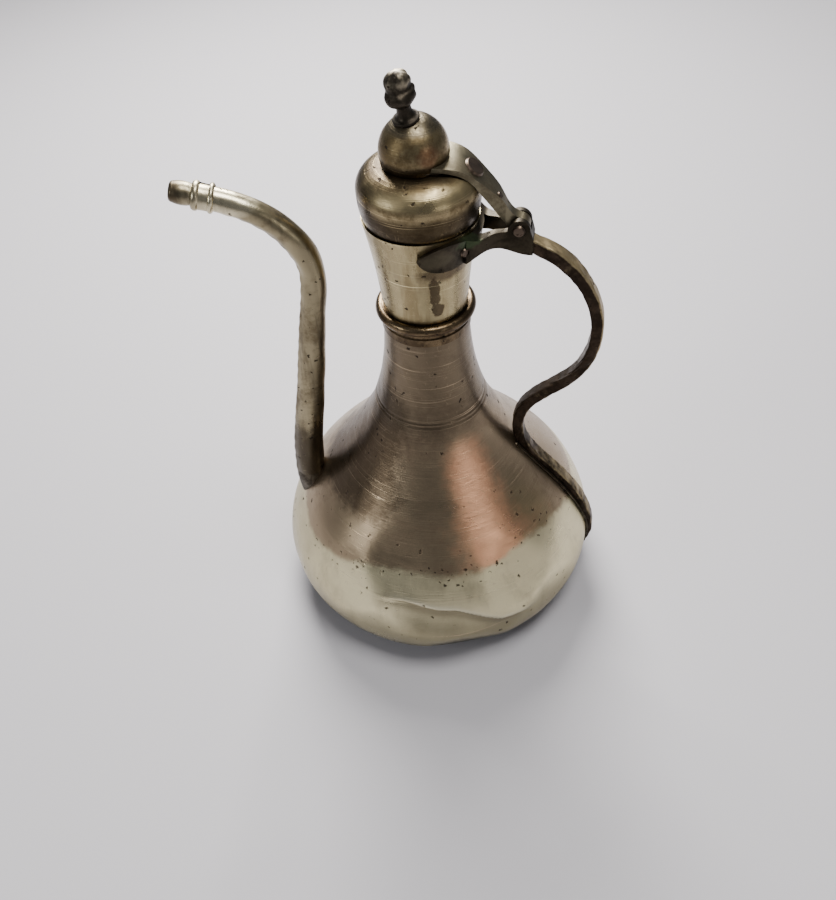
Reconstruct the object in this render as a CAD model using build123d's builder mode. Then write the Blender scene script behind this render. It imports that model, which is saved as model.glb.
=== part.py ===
"""Tinned copper ewer with a hinged domed lid, a swan-neck spout and a forged loop handle.

Millimetres.  The origin is on the pot's own axis, in the plane it stands on.
+Z is up and +X points from the axis to the handle; the lid's hinge pin lies along Y.
"""

import os
from math import cos, radians, sin

from build123d import *

# ------------------------------------------------------------------ driving sizes
pot_wall = 1.6
base_radius = 67.8
belly_radius = 97.5
belly_height = 33.5
belly_seam_height = 71.0
neck_radius = 21.9
neck_top = 206.8

groove_heights = (145.2, 147.6)
groove_radius = 0.5

collar_mid_radius = 24.6
collar_mid_height = 237.0
rim_radius = 28.4
rim_height = 260.7

ring_radius = 23.3
ring_bead = 2.8
sleeve_bottom = 196.4
sleeve_step = 200.6
sleeve_thickness = 1.5
sleeve_rise = 1.8

spout_turn = 192.0
spout_wall = 1.3
spout_outlet_tilt = 16.0
ferrule_start = (94.5, 274.5)
tube_in_ferrule = 9.5
ferrule_length = 10.4
nozzle_end = 20.5
ferrule_bore = 4.45
nozzle_shoulder = 4.9
nozzle_radius = 5.5
nozzle_bore = 3.4

pin_x = 47.2
pin_z = 256.8
pin_radius = 1.8
pin_head_radius = 2.9
pin_head_height = 1.1
pin_clearance = 0.08
ear_radius = 5.2
ear_outer = 6.2
slot_half = 3.15
knuckle_radius = 4.9
knuckle_half = 2.9
leaf_thickness = 2.6
clasp_floor = 240.0
clasp_web_rise = 7.2

bar_start = 54.0
bar_half_width = 4.4
bar_edge = 1.1
braze_rise = 1.1
braze_spread = 1.3

clasp_rivet_turn = 37.0
clasp_rivet_height = 251.8
clasp_rivet_radius = 1.5
clasp_rivet_head = 2.5

lid_wall = 1.3
lid_bottom = 261.4
lid_bottom_radius = 27.6
lid_radius = 29.3
lid_waist_height = 275.0
crease_radius = 15.4
crease_height = 286.5
crown_hole = 11.5
skirt_radius = 25.0
skirt_wall = 1.1
skirt_bottom = 254.8

ball_radius = 16.05
ball_wall = 1.3
ball_height = 292.4
ball_shift = 1.2
finial_turn = 230.0
finial_tilt = 11.3
stud_radius = 2.2

strap_rivet_x = 25.8
strap_rivet_z = 284.6
strap_rivet_tilt = 38.5
strap_rivet_radius = 2.0
strap_rivet_head = 5.6
strap_rivet_tail = 3.0
strap_rivet_depth = 5.2
stud_x = 37.7
stud_y = -2.4
stud_z = 272.7
stud_tilt = 51.0
stud_shank = 0.9
stud_head = 1.6


# ------------------------------------------------------------------ shared shapes
def toward(turn, radius, height):
    """Point at a radius and height, on the side of the pot at a turn about its axis."""
    return (radius * cos(radians(turn)), radius * sin(radians(turn)), height)


def beside(curve, distance, count):
    """Points beside a profile curve, moved square to it and towards the axis."""
    moved = []
    for step in range(count):
        place = step / (count - 1)
        spot = curve.position_at(place)
        heading = curve.tangent_at(place)
        moved.append((spot.X - distance * heading.Y, spot.Y + distance * heading.X))
    return moved


def radius_at(curve, height):
    """Radius of a rising profile curve at a height, found by halving."""
    low = 0.0
    high = 1.0
    for _ in range(30):
        middle = (low + high) / 2
        if curve.position_at(middle).Y < height:
            low = middle
        else:
            high = middle
    return curve.position_at(low).X


shoulder_curve = Spline(
    (belly_radius, belly_height),
    (94.0, 50.6),
    (85.1, 67.8),
    (57.3, 102.1),
    (33.8, 139.8),
    (24.2, 180.0),
    (neck_radius, neck_top),
    tangents=[(0, 1), (-0.04, 1)],
)
collar_curve = Spline(
    (neck_radius, neck_top),
    (collar_mid_radius, collar_mid_height),
    (rim_radius, rim_height),
)
SHOULDER_STEPS = 14
COLLAR_STEPS = 6


def body_section(inset):
    """Half section of the pot up to the top of the neck, drawn solid to the axis."""
    with BuildSketch(Plane.XZ, mode=Mode.PRIVATE) as section:
        with BuildLine():
            Line((0, inset), (base_radius, inset))
            EllipticalCenterArc(
                (base_radius, belly_height),
                belly_radius - base_radius - inset,
                belly_height - inset,
                start_angle=-90,
                arc_size=90,
            )
            side = Spline(*beside(shoulder_curve, inset, SHOULDER_STEPS), tangents=[(0, 1), (-0.04, 1)])
            Line(side @ 1, (0, (side @ 1).Y))
            Line((0, (side @ 1).Y), (0, inset))
        make_face()
    return section.sketch


def collar_section(inset):
    """Half section of the collar, drawn solid to the axis."""
    with BuildSketch(Plane.XZ, mode=Mode.PRIVATE) as section:
        with BuildLine():
            side = Spline(*beside(collar_curve, inset, COLLAR_STEPS))
            Line(side @ 1, (0, (side @ 1).Y))
            Line((0, (side @ 1).Y), (0, (side @ 0).Y))
            Line((0, (side @ 0).Y), side @ 0)
        make_face()
    return section.sketch


with BuildPart() as pot_outside:
    revolve(body_section(0), axis=Axis.Z)
    revolve(collar_section(0), axis=Axis.Z)

with BuildPart() as pot_shell:
    revolve(body_section(0), axis=Axis.Z)
    revolve(body_section(pot_wall), axis=Axis.Z, mode=Mode.SUBTRACT)
    with BuildSketch(Plane.XY.offset(neck_top - 10)):
        Circle(neck_radius - pot_wall)
    extrude(amount=20, mode=Mode.SUBTRACT)

# ------------------------------------------------------------------ spout centre line
outlet_direction = toward(spout_turn, cos(radians(spout_outlet_tilt)), sin(radians(spout_outlet_tilt)))
tube_end_reach = ferrule_start[0] + tube_in_ferrule * cos(radians(spout_outlet_tilt))
tube_end_height = ferrule_start[1] + tube_in_ferrule * sin(radians(spout_outlet_tilt))

with BuildLine() as spout_spine:
    Spline(
        toward(spout_turn, 74.0, 54.0),
        toward(spout_turn, 77.2, 80.0),
        toward(spout_turn, 75.8, 105.0),
        toward(spout_turn, 68.1, 149.6),
        toward(spout_turn, 57.8, 211.0),
        toward(spout_turn, 55.6, 234.0),
        toward(spout_turn, 61.2, 249.7),
        toward(spout_turn, 80.2, 267.9),
        toward(spout_turn, tube_end_reach, tube_end_height),
        tangents=[toward(spout_turn, 0.18, 1.0), outlet_direction],
    )

SPOUT_PLACES = (0.0, 0.12, 0.25, 0.38, 0.5, 0.62, 0.71, 0.78, 0.86, 0.94, 1.0)
SPOUT_RADII = (8.9, 8.9, 8.6, 8.1, 7.5, 6.8, 6.5, 6.4, 6.1, 5.8, 5.75)


def spout_rounds(places, radii):
    """Round sections square to the spout's centre line."""
    rounds = []
    for place, radius in zip(places, radii):
        across = Plane(origin=spout_spine.line @ place, z_dir=spout_spine.line % place)
        with BuildSketch(across, mode=Mode.PRIVATE) as section:
            Circle(radius)
        rounds.append(section.sketch)
    return rounds


with BuildPart() as spout_core:
    loft(spout_rounds(SPOUT_PLACES, SPOUT_RADII))

with BuildPart() as spout_channel:
    loft(spout_rounds(SPOUT_PLACES, [radius - spout_wall for radius in SPOUT_RADII]))

# ------------------------------------------------------------------ pot body
with BuildPart() as bowl:
    add(pot_shell.part)
    split(bisect_by=Plane.XY.offset(belly_seam_height), keep=Keep.BOTTOM)
    add(spout_channel.part, mode=Mode.SUBTRACT)
bowl.part.label = "bowl"

with BuildPart() as shoulder:
    add(pot_shell.part)
    split(bisect_by=Plane.XY.offset(belly_seam_height), keep=Keep.TOP)
    add(spout_channel.part, mode=Mode.SUBTRACT)
    with BuildSketch(Plane.XZ):
        for groove_height in groove_heights:
            with Locations((radius_at(shoulder_curve, groove_height) + 0.1, groove_height)):
                Circle(groove_radius)
    revolve(axis=Axis.Z, mode=Mode.SUBTRACT)
shoulder.part.label = "shoulder"

with BuildPart() as neck_sleeve:
    with BuildSketch(Plane.XZ):
        with BuildLine() as sleeve_edge:
            Polyline(
                (neck_radius - 1.0, sleeve_bottom),
                (neck_radius + sleeve_thickness, sleeve_bottom),
                (neck_radius + sleeve_thickness, sleeve_step),
                (neck_radius + sleeve_thickness / 2, sleeve_step + 0.6),
                (neck_radius + sleeve_thickness / 2, neck_top + sleeve_rise),
                (neck_radius - 1.0, neck_top + sleeve_rise),
                close=True,
            )
        make_face()
    revolve(axis=Axis.Z)
    add(pot_outside.part, mode=Mode.SUBTRACT)
neck_sleeve.part.label = "neck_sleeve"

with BuildPart() as neck_ring:
    with BuildSketch(Plane.XZ):
        with Locations((ring_radius, neck_top)):
            Circle(ring_bead)
        with Locations((neck_radius + sleeve_thickness / 2 - 5, neck_top)):
            Rectangle(10, 10, mode=Mode.SUBTRACT)
    revolve(axis=Axis.Z)
neck_ring.part.label = "neck_ring"

# ------------------------------------------------------------------ rivets through collar and clasp
collar_face = radius_at(collar_curve, clasp_rivet_height)


with BuildPart() as rivet_holes:
    for side in (-1, 1):
        turn = side * clasp_rivet_turn
        start = toward(turn, collar_face - 8, clasp_rivet_height)
        with BuildSketch(Plane(origin=start, z_dir=toward(turn, 1, 0))):
            Circle(clasp_rivet_radius)
        extrude(amount=16)

with BuildPart() as collar:
    revolve(collar_section(0), axis=Axis.Z)
    revolve(collar_section(pot_wall), axis=Axis.Z, mode=Mode.SUBTRACT)
    with BuildSketch(Plane.XY.offset(neck_top - 5)):
        Circle(neck_radius - pot_wall)
    extrude(amount=10, mode=Mode.SUBTRACT)
    with BuildSketch(Plane.XY.offset(rim_height - 2)):
        Circle(rim_radius - pot_wall - 0.35)
    extrude(amount=5, mode=Mode.SUBTRACT)
    add(rivet_holes.part, mode=Mode.SUBTRACT)
collar.part.label = "collar"

# ------------------------------------------------------------------ spout
with BuildPart() as spout_tube:
    add(spout_core.part)
    add(spout_channel.part, mode=Mode.SUBTRACT)
    add(pot_outside.part, mode=Mode.SUBTRACT)
spout_tube.part.label = "spout_tube"

SOLDER_PLACES = (0.03, 0.09, 0.155)
SOLDER_RADII = (11.3, 10.4, 8.9)

with BuildPart() as spout_solder:
    loft(spout_rounds(SOLDER_PLACES, SOLDER_RADII))
    add(pot_outside.part, mode=Mode.SUBTRACT)
    add(spout_core.part, mode=Mode.SUBTRACT)
spout_solder.part.label = "spout_solder"

outlet_origin = toward(spout_turn, ferrule_start[0], ferrule_start[1])
outlet_plane = Plane(origin=outlet_origin, x_dir=outlet_direction, z_dir=toward(spout_turn + 90, 1, 0))
outlet_axis = Axis(outlet_origin, outlet_direction)

with BuildPart() as spout_ferrule:
    with BuildSketch(outlet_plane):
        with BuildLine() as ferrule_edge:
            Line((0, ferrule_bore), (0, 5.9))
            ThreePointArc((0, 5.9), (1.25, 7.15), (2.5, 6.3))
            Line((2.5, 6.3), (6.9, 6.3))
            ThreePointArc((6.9, 6.3), (8.5, 6.95), (10.0, 6.2))
            Line((10.0, 6.2), (ferrule_length, 5.4))
            Line((ferrule_length, 5.4), (ferrule_length, ferrule_bore))
            Line((ferrule_length, ferrule_bore), (0, ferrule_bore))
        make_face()
    revolve(axis=outlet_axis)
    add(spout_core.part, mode=Mode.SUBTRACT)
    with BuildSketch(Plane(origin=outlet_origin, z_dir=outlet_direction)):
        Circle(ferrule_bore)
    extrude(amount=ferrule_length, mode=Mode.SUBTRACT)
spout_ferrule.part.label = "spout_ferrule"

with BuildPart() as spout_nozzle:
    with BuildSketch(outlet_plane):
        with BuildLine() as nozzle_edge:
            Line((ferrule_length, nozzle_bore), (ferrule_length, nozzle_shoulder))
            ThreePointArc((ferrule_length, nozzle_shoulder), (14.2, nozzle_radius), (18.6, nozzle_shoulder))
            ThreePointArc((18.6, nozzle_shoulder), (20.0, 4.3), (nozzle_end, nozzle_bore))
            Line((nozzle_end, nozzle_bore), (ferrule_length, nozzle_bore))
        make_face()
    revolve(axis=outlet_axis)
spout_nozzle.part.label = "spout_nozzle"

# ------------------------------------------------------------------ handle
with BuildPart() as handle_bar:
    with BuildSketch(Plane.XZ):
        with BuildLine() as bar_edge_line:
            outer = Spline(
                (bar_start, 251.2),
                (64.6, 245.8),
                (80.8, 229.4),
                (90.0, 208.8),
                (91.2, 188.5),
                (84.1, 169.4),
                (67.3, 150.3),
                (56.6, 138.0),
                (54.2, 119.5),
                (60.9, 105.0),
                (76.0, 88.2),
                (89.6, 70.5),
                (98.2, 52.2),
                (101.2, 34.0),
                (97.6, 19.5),
            )
            tip = Line(outer @ 1, (90.0, 19.5))
            inner = Spline(
                tip @ 1,
                (91.0, 40.0),
                (78.0, 68.0),
                (58.0, 93.0),
                (47.4, 112.0),
                (47.2, 126.0),
                (50.0, 139.5),
                (60.0, 151.8),
                (77.0, 167.4),
                (84.8, 190.0),
                (84.0, 208.8),
                (75.4, 226.0),
                (62.3, 238.0),
                (bar_start, 243.2),
            )
            Line(inner @ 1, outer @ 0)
        make_face()
    extrude(amount=bar_half_width, both=True)
    chamfer(edges().filter_by(GeomType.BSPLINE), length=bar_edge)
    add(pot_outside.part, mode=Mode.SUBTRACT)
handle_bar.part.label = "handle_bar"

with BuildPart() as handle_solder:
    revolve(body_section(-braze_rise), axis=Axis.Z)
    with BuildSketch(Plane.XZ):
        with BuildLine():
            Polyline((30, 24), (120, 24), (120, 60), (56, 111), (30, 111), close=True)
        make_face()
    extrude(amount=bar_half_width + braze_spread, both=True, mode=Mode.INTERSECT)
    add(pot_outside.part, mode=Mode.SUBTRACT)
    add(handle_bar.part, mode=Mode.SUBTRACT)
handle_solder.part.label = "handle_solder"

with BuildPart() as clasp_outline:
    with BuildSketch(Plane.XZ):
        with BuildLine():
            lower = Spline(
                (2.9, 253.0),
                (8.0, 246.4),
                (17.0, 244.3),
                (25.0, 245.9),
                (32.5, 248.6),
                (42.0, 246.6),
                (bar_start, 243.2),
            )
            back = Line(lower @ 1, (bar_start, 251.2))
            rise = Line(back @ 1, (pin_x + ear_radius, pin_z))
            ear = ThreePointArc(rise @ 1, (pin_x, pin_z + ear_radius), (pin_x - ear_radius, pin_z))
            Spline(
                ear @ 1,
                (35.5, 256.6),
                (30.5, 255.8),
                (24.0, 258.6),
                (16.0, 259.6),
                (8.5, 257.0),
                (2.9, 253.0),
                tangents=[(-0.6, -0.4), (-0.7, -0.7)],
            )
        make_face()
    extrude(amount=40, both=True)

with BuildPart() as handle_clasp:
    with BuildSketch(Plane.XY.offset(clasp_floor)):
        with BuildLine():
            outside = Spline(
                (bar_start, ear_outer - 1.2),
                (46.5, ear_outer),
                (39.0, 7.4),
                (31.5, 12.6),
                (24.4, 18.4),
            )
            Line(outside @ 1, (20.5, 15.0))
            Line((20.5, 15.0), (26.0, 10.0))
            inside = Spline((26.0, 10.0), (33.0, 6.4), (39.0, 4.2), (43.5, slot_half))
            Line(inside @ 1, (pin_x + knuckle_radius + 0.6, slot_half))
            Line((pin_x + knuckle_radius + 0.6, slot_half), (pin_x + knuckle_radius + 0.6, 0))
            Line((pin_x + knuckle_radius + 0.6, 0), (bar_start, 0))
            Line((bar_start, 0), outside @ 0)
        make_face()
        mirror(about=Plane.XZ)
    extrude(amount=25)
    with BuildSketch(Plane.XZ):
        with BuildLine() as leaf_edge:
            skin = Spline(*beside(collar_curve, -leaf_thickness, COLLAR_STEPS))
            Line(skin @ 1, (0, rim_height))
            Line((0, rim_height), (0, neck_top))
            Line((0, neck_top), skin @ 0)
        make_face()
    revolve(axis=Axis.Z)
    add(clasp_outline.part, mode=Mode.INTERSECT)
    with BuildSketch(Plane.XY.offset(clasp_floor)):
        with Locations((pin_x - 10, 0)):
            Rectangle(30, 2 * slot_half)
    extrude(amount=clasp_web_rise, mode=Mode.ADD)
    add(clasp_outline.part, mode=Mode.INTERSECT)
    add(pot_outside.part, mode=Mode.SUBTRACT)
    add(rivet_holes.part, mode=Mode.SUBTRACT)
    with BuildSketch(Plane.XZ):
        with Locations((pin_x, pin_z)):
            Circle(pin_radius)
    extrude(amount=20, both=True, mode=Mode.SUBTRACT)
handle_clasp.part.label = "handle_clasp"

with BuildPart() as clasp_rivets:
    for side in (-1, 1):
        turn = side * clasp_rivet_turn
        inner_end = toward(turn, collar_face - pot_wall - 1.0, clasp_rivet_height)
        rivet_plane = Plane(origin=inner_end, z_dir=toward(turn, 1, 0))
        shank_length = pot_wall + leaf_thickness + 1.2
        with BuildSketch(rivet_plane):
            Circle(clasp_rivet_radius)
        extrude(amount=shank_length)
        with BuildSketch(rivet_plane):
            Circle(clasp_rivet_head - 0.3)
        extrude(amount=1.0)
        with BuildSketch(rivet_plane.offset(shank_length - 0.2)):
            Circle(clasp_rivet_head)
        extrude(amount=1.1, taper=25)
    add(collar.part, mode=Mode.SUBTRACT)
    add(handle_clasp.part, mode=Mode.SUBTRACT)
clasp_rivets.part.label = "clasp_rivets"

with BuildPart() as hinge_pin:
    with BuildSketch(Plane.XZ):
        with Locations((pin_x, pin_z)):
            Circle(pin_radius)
    extrude(amount=ear_outer + 0.4, both=True)
    for side in (-1, 1):
        with BuildSketch(Plane(origin=(pin_x, side * (ear_outer + 0.05), pin_z), z_dir=(0, side, 0))):
            Circle(pin_head_radius)
        extrude(amount=pin_head_height, taper=25)
    add(handle_clasp.part, mode=Mode.SUBTRACT)
hinge_pin.part.label = "hinge_pin"


# ------------------------------------------------------------------ lid
def dome_section(inset):
    """Half section of the lid's dome, drawn solid to the axis."""
    with BuildSketch(Plane.XZ, mode=Mode.PRIVATE) as section:
        with BuildLine():
            Line((0, lid_bottom), (lid_bottom_radius - inset, lid_bottom))
            Spline(
                (lid_bottom_radius - inset, lid_bottom),
                (lid_radius - inset, lid_waist_height),
                tangents=[(0.35, 1), (0, 1)],
            )
            EllipticalCenterArc(
                (crease_radius, lid_waist_height),
                lid_radius - crease_radius - inset,
                crease_height - lid_waist_height - inset,
                start_angle=0,
                arc_size=90,
            )
            Line((crease_radius, crease_height - inset), (0, crease_height - inset))
            Line((0, crease_height - inset), (0, lid_bottom))
        make_face()
    return section.sketch


ball_centre = toward(spout_turn, ball_shift, ball_height)
finial_direction = toward(finial_turn, sin(radians(finial_tilt)), cos(radians(finial_tilt)))
finial_side = toward(finial_turn + 90, 1, 0)
finial_plane = Plane(origin=ball_centre, x_dir=finial_direction, z_dir=finial_side)
finial_axis = Axis(ball_centre, finial_direction)

with BuildPart() as ball_outside:
    with Locations(ball_centre):
        Sphere(ball_radius)

with BuildPart() as lid_outside:
    revolve(dome_section(0), axis=Axis.Z)
    add(ball_outside.part)

rivet_direction = (sin(radians(strap_rivet_tilt)), 0, cos(radians(strap_rivet_tilt)))
rivet_origin = (strap_rivet_x, 0, strap_rivet_z)
stud_direction = (sin(radians(stud_tilt)), 0, cos(radians(stud_tilt)))
stud_origin = (stud_x, stud_y, stud_z)

with BuildPart() as lid_holes:
    with BuildSketch(Plane(origin=rivet_origin, z_dir=rivet_direction).offset(-12)):
        Circle(strap_rivet_radius)
    extrude(amount=20)
    with BuildSketch(Plane(origin=stud_origin, z_dir=stud_direction).offset(-3.5)):
        Circle(stud_shank)
    extrude(amount=8)

with BuildPart() as lid_dome:
    revolve(dome_section(0), axis=Axis.Z)
    revolve(dome_section(lid_wall), axis=Axis.Z, mode=Mode.SUBTRACT)
    with BuildSketch(Plane.XY.offset(crease_height - 4)):
        Circle(crown_hole)
    extrude(amount=8, mode=Mode.SUBTRACT)
    add(lid_holes.part, mode=Mode.SUBTRACT)
lid_dome.part.label = "lid_dome"

with BuildPart() as lid_skirt:
    with BuildSketch(Plane.XZ):
        with BuildLine():
            Polyline(
                (skirt_radius, skirt_bottom),
                (skirt_radius, lid_bottom + 1.0),
                (lid_radius - 0.5, lid_bottom + 3.2),
                (lid_radius - 0.5, lid_bottom + 4.6),
                (skirt_radius - skirt_wall, lid_bottom + 1.6),
                (skirt_radius - skirt_wall, skirt_bottom),
                close=True,
            )
        make_face()
    revolve(axis=Axis.Z)
    revolve(dome_section(lid_wall), axis=Axis.Z, mode=Mode.INTERSECT)
    with BuildSketch(Plane.XZ):
        with BuildLine():
            Polyline(
                (skirt_radius, skirt_bottom),
                (skirt_radius, lid_bottom + 1.0),
                (skirt_radius - skirt_wall, lid_bottom + 1.6),
                (skirt_radius - skirt_wall, skirt_bottom),
                close=True,
            )
        make_face()
    revolve(axis=Axis.Z)
lid_skirt.part.label = "lid_skirt"

with BuildPart() as lid_ball:
    with Locations(ball_centre):
        Sphere(ball_radius)
        Sphere(ball_radius - ball_wall, mode=Mode.SUBTRACT)
    split(bisect_by=Plane.XY.offset(crease_height), keep=Keep.TOP)
    with BuildSketch(Plane(origin=ball_centre, z_dir=finial_direction)):
        Circle(stud_radius)
    extrude(amount=ball_radius + 2, mode=Mode.SUBTRACT)
lid_ball.part.label = "lid_ball"

with BuildPart() as finial:
    with BuildSketch(finial_plane):
        with BuildLine():
            Line((14.2, 0), (14.2, 6.1))
            Line((14.2, 6.1), (16.3, 6.1))
            Spline((16.3, 6.1), (17.5, 4.4), (20.8, 3.3), (24.4, 4.8), tangents=[(0.3, -1), (0.3, 1)])
            Line((24.4, 4.8), (24.8, 6.6))
            ThreePointArc((24.8, 6.6), (27.4, 7.6), (30.0, 6.6))
            Line((30.0, 6.6), (30.5, 5.9))
            Spline((30.5, 5.9), (34.0, 5.8), (37.1, 4.2), (38.0, 0), tangents=[(1, 0.05), (0, -1)])
            Line((38.0, 0), (14.2, 0))
        make_face()
    revolve(axis=finial_axis)
    add(ball_outside.part, mode=Mode.SUBTRACT)
    with BuildSketch(Plane(origin=ball_centre, z_dir=finial_direction).offset(13.4)):
        Circle(stud_radius)
    extrude(amount=4)
    with BuildSketch(Plane(origin=ball_centre, z_dir=finial_direction).offset(12.6)):
        Circle(stud_radius + 1.1)
    extrude(amount=1.7)
finial.part.label = "finial"

with BuildPart() as lid_strap:
    with BuildSketch(Plane.XZ):
        with BuildLine():
            top = Spline(
                (8.0, 290.4),
                (15.0, 289.8),
                (21.0, 288.0),
                (27.0, 283.7),
                (33.0, 278.1),
                (39.0, 271.2),
                (44.4, 263.4),
                (pin_x + 1.2, pin_z + 4.75),
            )
            turn_back = ThreePointArc(top @ 1, (pin_x + knuckle_radius, pin_z), (pin_x, pin_z - knuckle_radius))
            front = ThreePointArc(
                turn_back @ 1,
                (pin_x - 3.465, pin_z - 3.465),
                (pin_x - 4.85, pin_z - 0.7),
            )
            under = Spline(
                front @ 1,
                (39.4, 260.4),
                (35.4, 267.2),
                (30.2, 275.0),
                (26.4, 280.6),
                (21.0, 285.4),
                (15.0, 287.6),
                (8.0, 288.2),
            )
            Line(under @ 1, top @ 0)
        make_face()
    extrude(amount=14, both=True)
    with BuildSketch(Plane.XY.offset(245)):
        with BuildLine():
            Spline(
                (8.0, 12.6),
                (15.0, 11.9),
                (21.0, 10.4),
                (27.0, 8.4),
                (33.0, 6.5),
                (37.6, 4.6),
                (40.6, knuckle_half),
                tangents=[(1, -0.02), (1, -0.3)],
            )
            Line((40.6, knuckle_half), (60, knuckle_half))
            Line((60, knuckle_half), (60, 0))
            Line((60, 0), (8.0, 0))
            Line((8.0, 0), (8.0, 12.6))
        make_face()
        mirror(about=Plane.XZ)
    extrude(amount=50, mode=Mode.INTERSECT)
    add(lid_outside.part, mode=Mode.SUBTRACT)
    add(lid_holes.part, mode=Mode.SUBTRACT)
    with BuildSketch(Plane.XZ):
        with Locations((pin_x, pin_z)):
            Circle(pin_radius + pin_clearance)
    extrude(amount=20, both=True, mode=Mode.SUBTRACT)
lid_strap.part.label = "lid_strap"

with BuildPart() as strap_rivet:
    with BuildSketch(Plane(origin=rivet_origin, z_dir=rivet_direction).offset(-strap_rivet_depth)):
        Circle(strap_rivet_radius)
    extrude(amount=strap_rivet_depth + 0.8)
    with BuildSketch(Plane(origin=rivet_origin, z_dir=rivet_direction).offset(-strap_rivet_depth - 1.0)):
        Circle(strap_rivet_tail)
    extrude(amount=1.0)
    with BuildSketch(Plane(origin=rivet_origin, z_dir=rivet_direction).offset(0.15)):
        Ellipse(strap_rivet_head - 0.6, strap_rivet_head)
    extrude(amount=1.0, taper=35)
    add(lid_strap.part, mode=Mode.SUBTRACT)
    add(lid_dome.part, mode=Mode.SUBTRACT)
strap_rivet.part.label = "strap_rivet"

with BuildPart() as strap_stud:
    with BuildSketch(Plane(origin=stud_origin, z_dir=stud_direction).offset(-3.5)):
        Circle(stud_shank)
    extrude(amount=3.9)
    with BuildSketch(Plane(origin=stud_origin, z_dir=stud_direction).offset(0.1)):
        Circle(stud_head)
    extrude(amount=0.7, taper=25)
    add(lid_strap.part, mode=Mode.SUBTRACT)
strap_stud.part.label = "strap_stud"

with BuildPart() as crease_solder:
    for start, sweep_angle in ((-58, 116), (172, 62)):
        with BuildSketch(Plane.XZ.rotated((0, 0, start))):
            with Locations((14.9, crease_height + 1.2)):
                Circle(1.9)
        revolve(axis=Axis.Z, revolution_arc=sweep_angle)
    add(lid_outside.part, mode=Mode.SUBTRACT)
    add(lid_strap.part, mode=Mode.SUBTRACT)
crease_solder.part.label = "crease_solder"

# ------------------------------------------------------------------ write the parts
os.makedirs("parts", exist_ok=True)
for piece in (
    bowl,
    shoulder,
    neck_sleeve,
    neck_ring,
    collar,
    spout_tube,
    spout_solder,
    spout_ferrule,
    spout_nozzle,
    handle_bar,
    handle_solder,
    handle_clasp,
    clasp_rivets,
    hinge_pin,
    lid_dome,
    lid_skirt,
    lid_ball,
    crease_solder,
    finial,
    lid_strap,
    strap_rivet,
    strap_stud,
):
    export_step(piece.part, f"parts/{piece.part.label}.step")
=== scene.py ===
"""Hinged-lid ewer in tinned copper: its hand-made surfaces, its worn finishes and its stage.

Lengths inside the shape functions are millimetres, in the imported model's own frame: the
origin on the pot's axis in the plane it stands on, +Z up and +X towards the handle.
"""

import math

import bmesh
import bpy
import numpy as np
from mathutils import Matrix, Vector


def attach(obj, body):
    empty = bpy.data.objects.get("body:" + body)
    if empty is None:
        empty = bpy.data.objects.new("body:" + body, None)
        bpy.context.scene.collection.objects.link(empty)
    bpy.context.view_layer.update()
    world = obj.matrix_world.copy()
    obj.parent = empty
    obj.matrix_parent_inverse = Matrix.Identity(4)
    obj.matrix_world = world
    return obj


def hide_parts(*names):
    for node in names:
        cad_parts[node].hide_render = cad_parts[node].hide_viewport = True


bl_info = {
    "name": "Tinned Copper Ewer",
    "version": (1, 0, 0),
    "blender": (4, 5, 0),
    "location": "3D View > Sidebar > Ewer",
    "description": "Hammered shells, forged handle, worn tin finishes and a pale stage for a hinged-lid ewer",
    "category": "Object",
}

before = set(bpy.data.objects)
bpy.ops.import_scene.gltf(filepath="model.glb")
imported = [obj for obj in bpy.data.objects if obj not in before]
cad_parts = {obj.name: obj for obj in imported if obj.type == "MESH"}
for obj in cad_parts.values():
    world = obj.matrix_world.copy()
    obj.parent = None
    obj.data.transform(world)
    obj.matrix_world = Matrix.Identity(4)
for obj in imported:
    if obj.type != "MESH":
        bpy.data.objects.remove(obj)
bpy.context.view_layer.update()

MM = 0.001
TAU = 2 * math.pi


# ------------------------------------------------------------------ curves and grids
def curve_through(points, count, start=None, end=None):
    """Smooth curve through points, as count points.

    Each stretch is a cubic in the distance walked from point to point, and slopes and
    curvatures agree where two stretches meet; start and end fix the end directions.
    """
    p = np.array(points, float)
    walked = np.r_[0, np.cumsum(np.linalg.norm(np.diff(p, axis=0), axis=1))]
    step = np.diff(walked)
    slope = np.diff(p, axis=0) / step[:, None]
    size = len(p)
    matrix = np.eye(size)
    bend = np.zeros_like(p)
    inner = np.arange(1, size - 1)
    matrix[inner, inner - 1] = step[:-1]
    matrix[inner, inner] = 2 * (step[:-1] + step[1:])
    matrix[inner, inner + 1] = step[1:]
    bend[1:-1] = 6 * (slope[1:] - slope[:-1])
    if start is not None:
        matrix[0, :2] = 2 * step[0], step[0]
        bend[0] = 6 * (slope[0] - np.array(start, float) / np.linalg.norm(start))
    if end is not None:
        matrix[-1, -2:] = step[-1], 2 * step[-1]
        bend[-1] = 6 * (np.array(end, float) / np.linalg.norm(end) - slope[-1])
    second = np.linalg.solve(matrix, bend)
    at = np.linspace(0, walked[-1], count)
    k = np.clip(np.searchsorted(walked, at, side="right") - 1, 0, size - 2)
    h = step[k][:, None]
    a = (walked[k + 1] - at)[:, None]
    b = (at - walked[k])[:, None]
    cubic = (second[k] * a**3 + second[k + 1] * b**3) / (6 * h)
    return cubic + (p[k] / h - second[k] * h / 6) * a + (p[k + 1] / h - second[k + 1] * h / 6) * b


def respaced(line, count):
    """The same line with its points evenly spaced by length."""
    walked = np.r_[0, np.cumsum(np.linalg.norm(np.diff(line, axis=0), axis=1))]
    at = np.linspace(0, walked[-1], count)
    return np.stack([np.interp(at, walked, line[:, k]) for k in range(line.shape[1])], 1)


def headings(line):
    """Unit directions along a line, point by point."""
    run = np.gradient(line, axis=0)
    return run / (np.linalg.norm(run, axis=1)[:, None] + 1e-12)


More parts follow.
